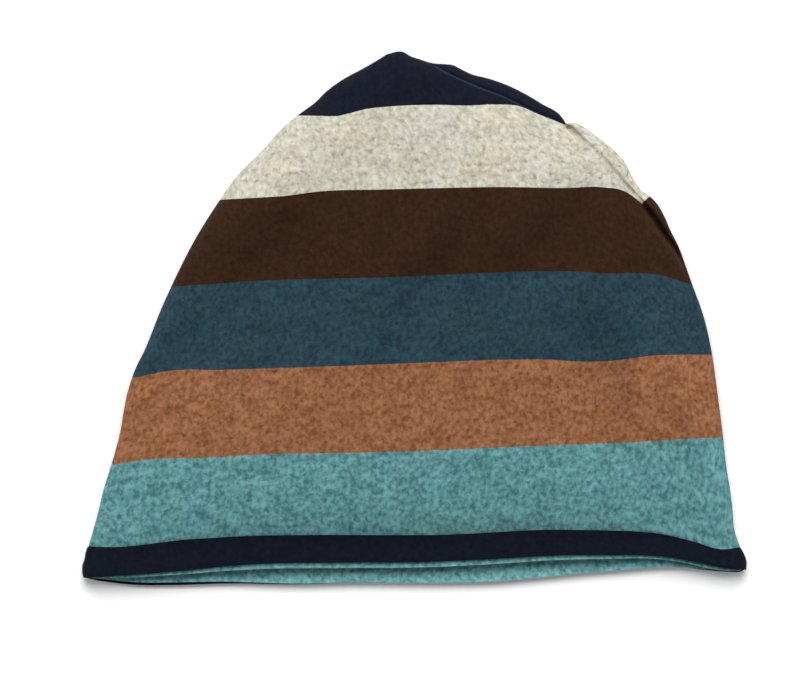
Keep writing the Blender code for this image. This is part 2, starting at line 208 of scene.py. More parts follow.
FOLDS: tuple[SoftFold, ...] = (
    SoftFold(5.0, 134.0, 56.5, 32.0, 8.3, 3.2),
    SoftFold(-16.0, 92.0, 70.0, 20.0, 8.0, 1.3),
    SoftFold(47.3, 147.0, 56.0, 24.0, 11.0, 3.9),
    SoftFold(71.0, 166.0, 60.0, 9.0, 6.0, 1.1),
    SoftFold(72.0, 114.0, 30.0, 18.0, 11.0, 1.8),
    SoftFold(88.0, 83.0, -83.0, 31.0, 9.5, 5.3),
    SoftFold(115.3, 73.0, -70.0, 22.0, 6.0, 4.6, FoldKind.RIDGE),
    SoftFold(-28.0, 182.0, 50.0, 14.0, 9.0, 1.5),
    SoftFold(116.3, 108.0, -80.0, 12.0, 2.4, -1.4, FoldKind.RIDGE),
    SoftFold(-64.0, 146.0, 46.0, 24.0, 12.0, 4.0),
    SoftFold(-96.0, 108.0, 44.0, 26.0, 9.0, 1.5),
    SoftFold(-112.0, 72.0, 60.0, 16.0, 7.0, 0.9),
    SoftFold(-60.0, 82.0, 70.0, 22.0, 12.0, -1.2),
    SoftFold(97.0, 139.0, 60.0, 10.0, 5.0, 1.0),
    SoftFold(89.7, 167.2, 136.0, 7.0, 0.7, -1.0, FoldKind.RIDGE),
    SoftFold(94.2, 165.6, 137.0, 6.0, 0.6, -1.1, FoldKind.RIDGE),
    SoftFold(79.0, 175.0, 130.0, 8.0, 2.6, -0.8, FoldKind.RIDGE),
)


@dataclass(frozen=True)
class Ripple:
    """A slow wave in the cloth: its length, the way it runs, its height and where it starts."""

    length: float
    heading: float
    height: float
    start: float


RIPPLES: tuple[Ripple, ...] = (
    Ripple(64.0, 20.0, 0.22, 0.3),
    Ripple(47.0, 108.0, 0.18, 1.9),
    Ripple(38.0, 63.0, 0.12, 4.1),
    Ripple(29.0, 151.0, 0.08, 2.6),
)

# Climb, and how high the middle stands there as a share of the puff
LOFTS: Points = (
    (0.0, 0.42), (0.05, 0.53), (0.07, 0.645), (0.09, 0.725), (0.12, 0.81), (0.17, 0.895),
    (0.22, 0.94), (0.40, 1.00), (0.56, 0.98), (0.73, 0.88), (0.88, 0.64), (0.95, 0.50),
    (1.0, 0.38),
)


def smooth_curve(line: Points, at: np.ndarray) -> np.ndarray:
    """Cubic through a line's points, each slope taken from the point's neighbours.

    Args:
        line: knots and values, in order.
        at: where the curve is read. Past its ends the curve keeps its last value.

    Returns:
        The curve's values.
    """
    knots, values = np.array(line).T
    spans = np.diff(knots)
    slopes = np.diff(values) / spans
    tangents = np.empty_like(values)
    tangents[0], tangents[-1] = slopes[0], slopes[-1]
    tangents[1:-1] = (spans[1:] * slopes[:-1] + spans[:-1] * slopes[1:]) / (spans[1:] + spans[:-1])
    at = np.clip(at, knots[0], knots[-1])
    cell = np.clip(np.searchsorted(knots, at, side="right") - 1, 0, len(spans) - 1)
    span = spans[cell]
    part = (at - knots[cell]) / span
    rest = 1 - part
    low = (1 + 2 * part) * rest ** 2 * values[cell] + part * rest ** 2 * span * tangents[cell]
    high = part ** 2 * (3 - 2 * part) * values[cell + 1] - part ** 2 * rest * span * tangents[cell + 1]
    return low + high


def edge_curve(points: np.ndarray, share: np.ndarray) -> np.ndarray:
    """Points at shares of the way along a line of places.

    Args:
        points: one row for each place.
        share: shares of the line's length.

    Returns:
        One row for each share.
    """
    steps = np.linalg.norm(np.diff(points[:, :2], axis=0), axis=1)
    run = np.concatenate([[0.0], np.cumsum(steps)]) / steps.sum()
    columns = [smooth_curve(tuple(zip(run, column)), share) for column in points.T]
    return np.stack(columns, axis=-1)


def smooth_step(value: np.ndarray) -> np.ndarray:
    """Eases from 0 to 1 as the value goes from 0 to 1."""
    part = np.clip(value, 0.0, 1.0)
    return part * part * (3.0 - 2.0 * part)


def quarter_turn(steps: int) -> np.ndarray:
    """Shares from 0 to 1, spaced as a quarter circle's rise is by even angles."""
    return 1.0 - np.cos(np.linspace(0.0, math.pi / 2, steps + 1))


def eased(count: int, ends: int, reach: float, far_ends: int, far_reach: float) -> np.ndarray:
    """Shares from 0 to 1 that crowd by angle towards the ends, where cloth rounds a fold.

    Args:
        count: how many even steps there are between the ends.
        ends: how many steps round the near end.
        reach: the share that they cover.
        far_ends: how many steps round the far end.
        far_reach: the share that those cover.

    Returns:
        The shares, in order.
    """
    near = reach * quarter_turn(ends)[:-1]
    middle = np.linspace(reach, 1.0 - far_reach, count + 1)
    far = 1.0 - far_reach * quarter_turn(far_ends)[::-1][1:]
    return np.concatenate([near, middle, far])


def cell_corners(grid: np.ndarray) -> np.ndarray:
    """Corners of each cell of a grid, in order round the cell.

    Args:
        grid: rows and columns, of numbers or of points.

    Returns:
        Rows and columns of cells, with four corners each.
    """
    return np.stack([grid[:-1, :-1], grid[:-1, 1:], grid[1:, 1:], grid[1:, :-1]], axis=2)


@dataclass(frozen=True)
class HatForm:
    """The form that the hat lies in, worked out as places on its two sides.

    A place is given by its share across, from the left edge to the right, and by its climb, from
    0 at the mouth through the band's top to 1 at the tip. Sizes are in millimetres.
    """

    puff: float = 26.0
    edge_height: float = 4.7
    edge_roll: float = 6.0
    band_climb: float = 0.05
    dome_power: float = 2.6
    hem_fade: float = 0.24
    tip_rise: float = 1.75
    tip_skew: float = 1.25
    tip_reach: float = 0.03
    tip_retreat: float = 0.008
    valley_share: float = 0.4
    valley_reach: float = 2.2
    crease_roll: float = 2.4
    crease_reach: float = 0.70
    crease_spread: float = 0.14
    lip_rise: float = 0.30
    lip_out: float = 1.4
    lip_reach: float = 0.6
    seam_inset: float = 0.3
    hem_curl: float = 1.5
    curl_reach: float = 5.0
    puff_line: float = 1.8
    puff_reach: float = 9.0
    middle_y: float = 112.2
    panel_length: float = 230.0
    corner_share: float = 0.012
    fold_fade: float = 0.5
    curl_fade: float = 2.0
    side_steps: int = 1100
    tip_steps: int = 60

    def panel_climb(self, climb: np.ndarray) -> np.ndarray:
        """Climbs as shares of the way from the band's top to the tip."""
        return np.clip((climb - self.band_climb) / (1.0 - self.band_climb), 0.0, 1.0)

    def seam(self, climb: np.ndarray) -> np.ndarray:
        """Place on the right edge, the back layer's roll and the crease's depth, row by row."""
        points = np.array([(point.x, point.y, point.roll, point.crease) for point in RIGHT_EDGE])
        return edge_curve(points, self.panel_climb(climb))

    def sides(self, climb: np.ndarray) -> tuple[np.ndarray, np.ndarray, np.ndarray]:
        """Left and right ends of the rows, and how far the back rolls out past the right ones.

        Args:
            climb: one value for each row.

        Returns:
            Left places, right places, and rolls.
        """
        low = climb < self.band_climb
        band = np.clip(climb / self.band_climb, 0.0, 1.0)
        upper_left = edge_curve(np.array(LEFT_EDGE), self.panel_climb(climb))
        seam = self.seam(climb)
        left = np.where(low[:, None], edge_curve(np.array(LEFT_BAND), band), upper_left)
        right = np.where(low[:, None], edge_curve(np.array(RIGHT_BAND), band), seam[:, :2])
        return left, right, np.where(low, 0.0, np.maximum(seam[:, 2], 0.0))

    def outward(self, climb: np.ndarray, end: int = 1) -> np.ndarray:
        """Unit directions square to an edge, away from the hat.

        Args:
            climb: one value for each row.
            end: 0 for the left edge and 1 for the right one.

        Returns:
            One direction for each row.
        """
        step = 0.002
        run = self.sides(np.minimum(climb + step, 1.0))[end] - self.sides(climb - step)[end]
        across = np.stack([run[:, 1], -run[:, 0]], axis=-1) * (1.0 if end else -1.0)
        return across / np.linalg.norm(across, axis=1)[:, None]

    def ends(self, climb: np.ndarray, left_inset: float, right_out: np.ndarray) -> Pair:
        """Ends of the rows, moved square to the edges.

        Args:
            climb: one value for each row.
            left_inset: how far the left ends move in.
            right_out: how far each right end moves out.

        Returns:
            Left and right places.
        """
        left, right, _ = self.sides(climb)
        left = left - self.outward(climb, 0) * left_inset
        return left, right + self.outward(climb) * right_out[:, None]

    def top_at(self, depth: float) -> float:
        """Climb of the last row of a face that lies so deep under the outer one."""
        return 1.0 - depth * self.tip_retreat

    def strip_reach(self, climb: np.ndarray) -> np.ndarray:
        """How far the back layer comes up and over the right edge, row by row."""
        return np.maximum(self.sides(climb)[2], self.seam_inset)

    def outline(self) -> np.ndarray:
        """Outline of the hat above its mouth, seen from above.

        Returns:
            Its places in order, up the left edge, over the tip and down the right edge.
        """
        climb = np.linspace(0.0, 1.0, self.side_steps)
        left, right = self.ends(climb, 0.0, self.sides(climb)[2])
        across = np.linspace(0.0, 1.0, self.tip_steps)[1:-1]
        tip = self.plan(across, np.array([1.0]), Side.OVER, (left[-1:], right[-1:]))[0]
        return np.concatenate([left, tip, right[::-1]])

    def plan(self, across: np.ndarray, climb: np.ndarray, side: Side, ends: Pair) -> np.ndarray:
        """Places of a grid, seen from above.

        Args:
            across: one share for each column.
            climb: one value for each row.
            side: the sheet's side, because the back layer's hem hangs lower.
            ends: the rows' left and right places.

        Returns:
            An array of rows, columns and two coordinates.
        """
        left, right = ends
        grid = left[:, None, :] + (right - left)[:, None, :] * across[None, :, None]
        hem = smooth_curve(FRONT_HEM, grid[..., 0])
        top = smooth_curve(BAND_TOP, grid[..., 0])
        drop = smooth_curve(BACK_HEM, grid[..., 0]) - hem if side is Side.UNDER else 0.0
        band = np.clip(climb / self.band_climb, 0.0, 1.0)[:, None]
        aim = hem * (1.0 - band) + top * band
        corner = smooth_step(np.minimum(across, 1.0 - across) / self.corner_share)[None, :]
        fade = np.clip(1.0 - (climb - self.band_climb) / self.hem_fade, 0.0, 1.0)[:, None] ** 2
        base = left[:, None, 1] + (right - left)[:, None, 1] * across[None, :]
        low_base = np.where(band < 1.0, base, self._band_chord(across))
        grid[..., 1] += ((aim - low_base) * corner + drop * corner) * fade
        lift = np.clip((climb - 1.0 + self.tip_reach) / self.tip_reach, 0.0, 1.0)[:, None] ** 2
        grid[..., 1] += self.tip_rise * lift * np.sin(math.pi * across[None, :] ** self.tip_skew)
        return grid

    def _band_chord(self, across: np.ndarray) -> np.ndarray:
        """Height of the straight line between the band's top corners."""
        return LEFT_EDGE[0][1] + (RIGHT_EDGE[0].y - LEFT_EDGE[0][1]) * across[None, :]

    def inset(self, grid: np.ndarray) -> np.ndarray:
        """Distance of each place of a grid from the outline.

        A first look at every few places of the outline leaves out the places far inside.

        Args:
            grid: places seen from above.

        Returns:
            One distance for each place, FAR_INSIDE at most.
        """
        every, batch, least = 25, 2000, 1e-9
        line = self.outline()
        starts, runs = line[:-1], np.diff(line, axis=0)
        lengths = np.maximum((runs ** 2).sum(1), least)
        flat = grid.reshape(-1, 2)
        rough = np.sqrt(((flat[:, None, :] - line[None, ::every]) ** 2).sum(2).min(1))
        found = np.full(len(flat), FAR_INSIDE)
        near = np.flatnonzero(rough < 2.0 * FAR_INSIDE)
        for rows in np.array_split(near, len(near) // batch + 1):
            away = flat[rows, None, :] - starts[None]
            part = np.clip((away * runs[None]).sum(2) / lengths[None], 0.0, 1.0)
            gap = away - part[..., None] * runs[None]
            found[rows] = np.sqrt((gap ** 2).sum(2).min(1))
        return np.clip(found - ON_OUTLINE, 0.0, FAR_INSIDE).reshape(grid.shape[:-1])

    def turned(self, inset: np.ndarray, depth: float) -> np.ndarray:
        """Height share of the rounded edge: 0 on the outline and 1 from the edge's roll inwards."""
        part = np.clip((inset - depth) / (self.edge_roll - depth), 0.0, 1.0)
        return np.sqrt(1.0 - (1.0 - part) ** 2)

    def relief(self, grid: np.ndarray) -> np.ndarray:
        """Soft folds and slow ripples of the front.

        Args:
            grid: places seen from above.

        Returns:
            How far they raise the cloth at each place.
        """
        total = np.zeros(grid.shape[:-1])
        for fold in FOLDS:
            turn = math.radians(fold.heading)
            away = grid - np.array([fold.x, fold.y])
            along = (away[..., 0] * math.cos(turn) + away[..., 1] * math.sin(turn)) / fold.half_length
            aside = (away[..., 1] * math.cos(turn) - away[..., 0] * math.sin(turn)) / fold.half_width
            if fold.kind is FoldKind.STEP:
                # The first half lifts a step's highest place to the fold's height
                total += fold.height * aside * np.exp(0.5 - 0.5 * aside ** 2 - along ** 2)
            else:
                total += fold.height * np.exp(-along ** 2 - aside ** 2)
        for ripple in RIPPLES:
            turn = math.radians(ripple.heading)
            way = grid[..., 0] * math.cos(turn) + grid[..., 1] * math.sin(turn)
            total += ripple.height * np.sin(2 * math.pi * way / ripple.length + ripple.start)
        return total

    def valley_at(self, distance: np.ndarray, climb: np.ndarray) -> np.ndarray:
        """How deep the cloth dips into the crease along the crown seam.

        Args:
            distance: each place's distance from the seam.
            climb: one value for each row.

        Returns:
            One depth for each place. It is negative on the small lip beside the crease.
        """
        seam = self.seam(climb)
        rolled = smooth_step(seam[:, 2] / self.crease_roll)[:, None]
        deep = seam[:, 3, None] * rolled
        soft = self.valley_share * np.exp(-(distance / self.valley_reach) ** 2)
        reach = self.crease_reach + self.crease_spread * deep
        lip = self.lip_rise * np.exp(-((distance - self.lip_out) / self.lip_reach) ** 2)
        return deep * (soft + np.exp(-(distance / reach) ** 2)) - lip * rolled

    def square(self, left: np.ndarray, right: np.ndarray, climb: np.ndarray) -> np.ndarray:
        """How square each row meets the right edge, from 0 along it to 1 across it."""
        row = (right - left) / np.linalg.norm(right - left, axis=1)[:, None]
        return np.abs((row * self.outward(climb)).sum(1))

    def over(self, grid: np.ndarray, dome_share: np.ndarray, climb: np.ndarray,
             depth: float) -> np.ndarray:
        """Heights of the upper side.

        Args:
            grid: places seen from above.
            dome_share: each place's share of the whole way across.
            climb: one value for each row.
            depth: how far inside the outer face the sheet lies.

        Returns:
            One height for each place.
        """
        dome = 1.0 - np.abs(2.0 * dome_share - 1.0) ** self.dome_power
        loft = smooth_curve(LOFTS, climb)[:, None] * self.puff - 2.0 * self.edge_height
        inset = self.inset(grid)
        edge = self.edge_height + (self.edge_height - depth) * self.turned(inset, depth)
        soft = smooth_step(inset / (self.fold_fade * self.edge_roll))
        above = np.maximum(climb - self.band_climb, 0.0)[:, None] * self.panel_length
        start = smooth_step(climb / self.band_climb)[:, None]
        tuck = self.puff_line * np.exp(-above / self.puff_reach) * start
        return edge + loft * dome + (self.relief(grid) - tuck) * soft

    def under(self, grid: np.ndarray, climb: np.ndarray, depth: float) -> np.ndarray:
        """Heights of the side that lies on the table, with its mouth edge curled up.

        Args:
            grid: places seen from above.
            climb: one value for each row.
            depth: how far inside the outer face the sheet lies.

        Returns:
            One height for each place.
        """
        inset = self.inset(grid)
        flat = self.edge_height - (self.edge_height - depth) * self.turned(inset, depth)
        curl = self.hem_curl * np.exp(-(climb * self.panel_length / self.curl_reach) ** 2)
        return flat + curl[:, None] * smooth_step((inset - depth) / (self.curl_fade * self.edge_roll))

    def knit_height(self, grid: np.ndarray) -> np.ndarray:
        """Height up the cloth, so that the stripes follow their own lines.

        Args:
            grid: places seen from above.

        Returns:
            One height up the cloth for each place.
        """
        x, y = grid[..., 0], grid[..., 1]
        lines = [smooth_curve(course.line, x) for course in COURSES]
        heights = [course.height for course in COURSES]
        found = heights[0] + (y - lines[0])
        for low, high, start, end in zip(lines, lines[1:], heights, heights[1:]):
            found = np.where(y > low, start + (y - low) / (high - low) * (end - start), found)
        return np.where(y > lines[-1], heights[-1] + (y - lines[-1]), found)

    def placed(self, grid: np.ndarray, height: np.ndarray) -> np.ndarray:
        """Places and heights as points of the row frame, in metres."""
        return np.stack([grid[..., 0], grid[..., 1] - self.middle_y, height], axis=-1) * MM


@dataclass(frozen=True)
class ClothMaker:
    """Makes a sheet's object from the grids of its two faces.

    Cut edges, where the cloth turns by more than the cut angle, are rounded by so many millimetres.
    Faces that meet at less than the smooth angle are shaded as one. Both angles are in degrees.
    """

    rounding: float = 0.0
    cut_angle: float = 60.0
    cut_steps: int = 2
    smooth_angle: float = 65.0

    def make(self, name: str, faces: Pair, knits: Pair, seam: np.ndarray | None = None,
             ring: bool = False, roll_columns: int = 0) -> bpy.types.Object:
        """Makes one closed piece of cloth.

        Args:
            name: the piece's name.
            faces: rows and columns of points on the outer face and on the inner one. Rows cross
                columns so that the outer face's normal points out.
            knits: height up the cloth at each point of both faces, in millimetres.
            seam: distance from the crown seam at each point, in metres, where the piece has one.
            ring: whether the last column joins the first.
            roll_columns: how many of the first columns are rolled over the edge, whose knit is
                laid along that edge.

        Returns:
            The piece, with its cut edges closed and rounded.
        """
        rows, columns = faces[0].shape[:2]
        count = rows * columns
        index = np.arange(count).reshape(rows, columns)
        if ring:
            index = np.concatenate([index, index[:, :1]], axis=1)
            rims = [index[0], index[-1, ::-1]]
        else:
            rims = [np.concatenate([index[0], index[1:, -1], index[-1, -2::-1], index[-2::-1, 0]])]
        outer = cell_corners(index).reshape(-1, 4)
        walls = [np.stack([rim[:-1], rim[:-1] + count, rim[1:] + count, rim[1:]], axis=-1) for rim in rims]
        quads = np.concatenate([outer, outer[:, ::-1] + count, *walls])
        mesh = bpy.data.meshes.new(name)
        mesh.from_pydata(np.concatenate([face.reshape(-1, 3) for face in faces]), [], quads.tolist())
        self._map(mesh, faces, knits, ring, roll_columns)
        distance = np.ones((2, rows, columns))
        if seam is not None:
            distance[0] = seam
        for key, values in ((SEAM_DISTANCE, distance), (CLOTH_HEIGHT, np.stack(knits) * MM)):
            layer = mesh.attributes.new(key, "FLOAT", "POINT")
            layer.data.foreach_set("value", values.reshape(-1).astype(np.float32))
        piece = bpy.data.objects.new(name, mesh)
        bpy.context.scene.collection.objects.link(piece)
        self._finish(piece)
        return piece

    def _map(self, mesh: bpy.types.Mesh, faces: Pair, knits: Pair, ring: bool,
             roll_columns: int) -> None:
        """Gives the mesh its cloth map: metres along the courses and metres across them.

        Args:
            mesh: the piece's mesh, whose quads of both faces come before those of its rims.
            faces: points on the outer face and on the inner one.
            knits: height up the cloth at each point of both faces, in millimetres.
            ring: whether the last column joins the first.
            roll_columns: how many of the first columns are rolled over the edge.
        """
        layer = mesh.uv_layers.new(name=CLOTH_MAP)
        parts = []
        for points, knit in zip(faces, knits):
            steps = np.linalg.norm(np.diff(points, axis=1), axis=2)
            along = np.concatenate([np.zeros((len(points), 1)), np.cumsum(steps, axis=1)], axis=1)
            if ring:
                last = along[:, -1:] + np.linalg.norm(points[:, :1] - points[:, -1:], axis=2)
                along = np.concatenate([along, last], axis=1)
                knit = np.concatenate([knit, knit[:, :1]], axis=1)
            middle = along.shape[1] // 2
            along -= along[:, middle, None]
            if roll_columns:
                inward = (np.arange(along.shape[1]) - roll_columns) / (middle - roll_columns)
                ease = smooth_step(1.0 - inward)[None, :]
                climbs = np.linalg.norm(np.diff(points[:, roll_columns], axis=0), axis=1)
                edge = np.concatenate([[0.0], np.cumsum(climbs)])[:, None] / MM
                along -= along[:, roll_columns, None] * ease
                knit = knit * (1.0 - ease) + edge * ease
            place = np.stack([along, knit * MM], axis=-1)
            parts.append(cell_corners(place).reshape(-1, 4, 2))
        parts[1] = parts[1][:, ::-1]
        places = np.concatenate(parts).reshape(-1, 2)
        loops = np.empty(len(mesh.loops), dtype=np.int32)
        mesh.loops.foreach_get("vertex_index", loops)
        first = np.zeros(len(mesh.vertices), dtype=int)
        first[loops[:len(places)]] = np.arange(len(places))
        walls = places[first[loops[len(places):]]]
        layer.data.foreach_set("uv", np.concatenate([places, walls]).reshape(-1).astype(np.float32))

    def _finish(self, piece: bpy.types.Object) -> None:
        """Rounds the piece's cut edges and smooths its faces.

        Args:
            piece: the piece of cloth.
        """
        bpy.ops.object.select_all(action="DESELECT")
        piece.select_set(True)
        bpy.context.view_layer.objects.active = piece
        if self.rounding:
            edge = piece.modifiers.new("edge", "BEVEL")
            edge.width = self.rounding * MM
            edge.segments = self.cut_steps
            edge.limit_method = "ANGLE"
            edge.angle_limit = math.radians(self.cut_angle)
            bpy.ops.object.modifier_apply(modifier=edge.name)
        bpy.ops.object.shade_smooth_by_angle(angle=math.radians(self.smooth_angle))


class NodeBench:
    """Lays out and joins the nodes of one material."""

    def __init__(self, name: str) -> None:
        """Starts a material with its shader and output.

        Args:
            name: the material's name.
        """
        self.material = bpy.data.materials.new(name)
        self.material.use_nodes = True
        self.tree = self.material.node_tree
        self.shader = self.tree.nodes["Principled BSDF"]

    def add(self, kind: str, **settings: object) -> bpy.types.Node:
        """Adds a node and sets its properties.

        Args:
            kind: the node's type.
            **settings: its properties, by their names.

        Returns:
            The node.
        """
        node = self.tree.nodes.new(kind)
        for key, value in settings.items():
            setattr(node, key, value)
        return node

    def join(self, start: Socket, end: Socket) -> None:
        """Links two sockets."""
        self.tree.links.new(start, end)

    def feed(self, socket: Socket, value: Socket | Colour | float) -> None:
        """Gives an input what it reads.

        Args:
            socket: the input.
            value: a socket that it is linked to, or its own colour or number.
        """
        if isinstance(value, Socket):
            self.join(value, socket)
        elif isinstance(value, tuple):
            socket.default_value = (*value, 1.0)
        else:
            socket.default_value = value

    def math(self, operation: str, first: Socket | float, second: Socket | float = 0.0,
             third: Socket | float = 0.0) -> Socket:
        """Result of a Math node.

        Args:
            operation: the node's operation.
            first: a socket or a number.
            second: a socket or a number.
            third: a socket or a number.

        Returns:
            The node's output.
        """
        node = self.add("ShaderNodeMath", operation=operation)
        for socket, value in zip(node.inputs, (first, second, third)):
            self.feed(socket, value)
        return node.outputs[0]

    def spread(self, value: Socket, low: float, high: float, start: float = 0.0,
               end: float = 1.0) -> Socket:
        """Maps a value from one range to another and holds it inside.

        Args:
            value: what is mapped.
            low: the first range's start.
            high: the first range's end.
            start: the second range's start.
            end: the second range's end.

        Returns:
            The mapped value.
        """
        node = self.add("ShaderNodeMapRange", clamp=True)
        self.join(value, node.inputs["Value"])
        node.inputs["From Min"].default_value = low
        node.inputs["From Max"].default_value = high
        node.inputs["To Min"].default_value = start
        node.inputs["To Max"].default_value = end
        return node.outputs[0]

    def mix(self, share: Socket | float, first: Socket | Colour, second: Socket | Colour,
            blend: str = "MIX") -> Socket:
        """Mix of two colours.

        Args:
            share: how much of the second colour there is.
            first: the first colour.
            second: the second colour.
            blend: how the second colour acts on the first.

        Returns:
            The mixed colour.
        """
        node = self.add("ShaderNodeMix", data_type="RGBA", blend_type=blend)
        colour_inputs = (node.inputs[0], node.inputs[6], node.inputs[7])
        for socket, value in zip(colour_inputs, (share, first, second)):
            self.feed(socket, value)
        return node.outputs[2]


def linear(colour: Colour, gain: float) -> Colour:
    """Linear colour of a screen colour given in steps of 255.

    Args:
        colour: screen red, green and blue.
        gain: a factor on the linear values.

    Returns:
        The linear colour.
    """
    channels = []
    for value in colour:
        share = value / 255.0
        light = share / 12.92 if share <= 0.04045 else ((share + 0.055) / 1.055) ** 2.4
        channels.append(gain * light)
    return tuple(channels)


@dataclass(frozen=True)
class Yarn:
    """The yarns of one stripe: where it ends up the cloth, and its dark, light and fleck fibres."""

    name: str
    end: float
    dark: Colour
    light: Colour
    fleck: Colour


STRIPE_YARNS: tuple[Yarn, ...] = (
    Yarn("light teal heather", COURSES[1].height, (66, 116, 120), (117, 171, 175), (66, 98, 104)),
    Yarn("copper heather", COURSES[2].height, (126, 78, 49), (167, 115, 83), (104, 62, 40)),
    Yarn("petrol", COURSES[3].height, (34, 54, 65), (50, 76, 87), (31, 48, 58)),
    Yarn("dark brown", COURSES[4].height, (49, 30, 19), (61, 40, 27), (46, 28, 19)),
    Yarn("oatmeal heather", CROWN_COURSE, (178, 174, 157), (220, 216, 200), (148, 143, 131)),
    Yarn("crown navy", PAST_TIP, (19, 23, 35), (27, 30, 43), (19, 23, 35)),
)
NAVY_YARN: tuple[Yarn, ...] = (
    Yarn("band navy", PAST_TIP, (16, 20, 31), (23, 27, 38), (16, 20, 31)),
)
TEAL_YARN: tuple[Yarn, ...] = (
    Yarn("lining teal", PAST_TIP, (68, 114, 116), (116, 166, 168), (54, 90, 95)),
)
# Painted highlight: a lighter navy line along the crown seam's folded edge, standing in for light caught
# there
SEAM_HIGHLIGHT: Colour = (41, 52, 76)


@dataclass(frozen=True)
class Cloud:
    """Soft noise over the cloth: its waves a metre along and up, its layer and its detail."""

    along: float
    up: float
    layer: float
    detail: float = 2.0

    def read(self, bench: NodeBench, along: Socket, up: Socket) -> Socket:
        """Noise at a place on the cloth.

        Args:
            bench: the material's nodes.
            along: metres along the courses.
            up: metres up the cloth.

        Returns:
            The noise, mostly between 0.3 and 0.7.
        """
        place = bench.add("ShaderNodeCombineXYZ")
        bench.join(bench.math("MULTIPLY", along, self.along), place.inputs[0])
        bench.join(bench.math("MULTIPLY", up, self.up), place.inputs[1])
        place.inputs[2].default_value = self.layer
        texture = bench.add("ShaderNodeTexNoise")
        texture.inputs["Scale"].default_value = 1.0
        texture.inputs["Detail"].default_value = self.detail
        bench.join(place.outputs[0], texture.inputs["Vector"])
        return texture.outputs["Fac"]


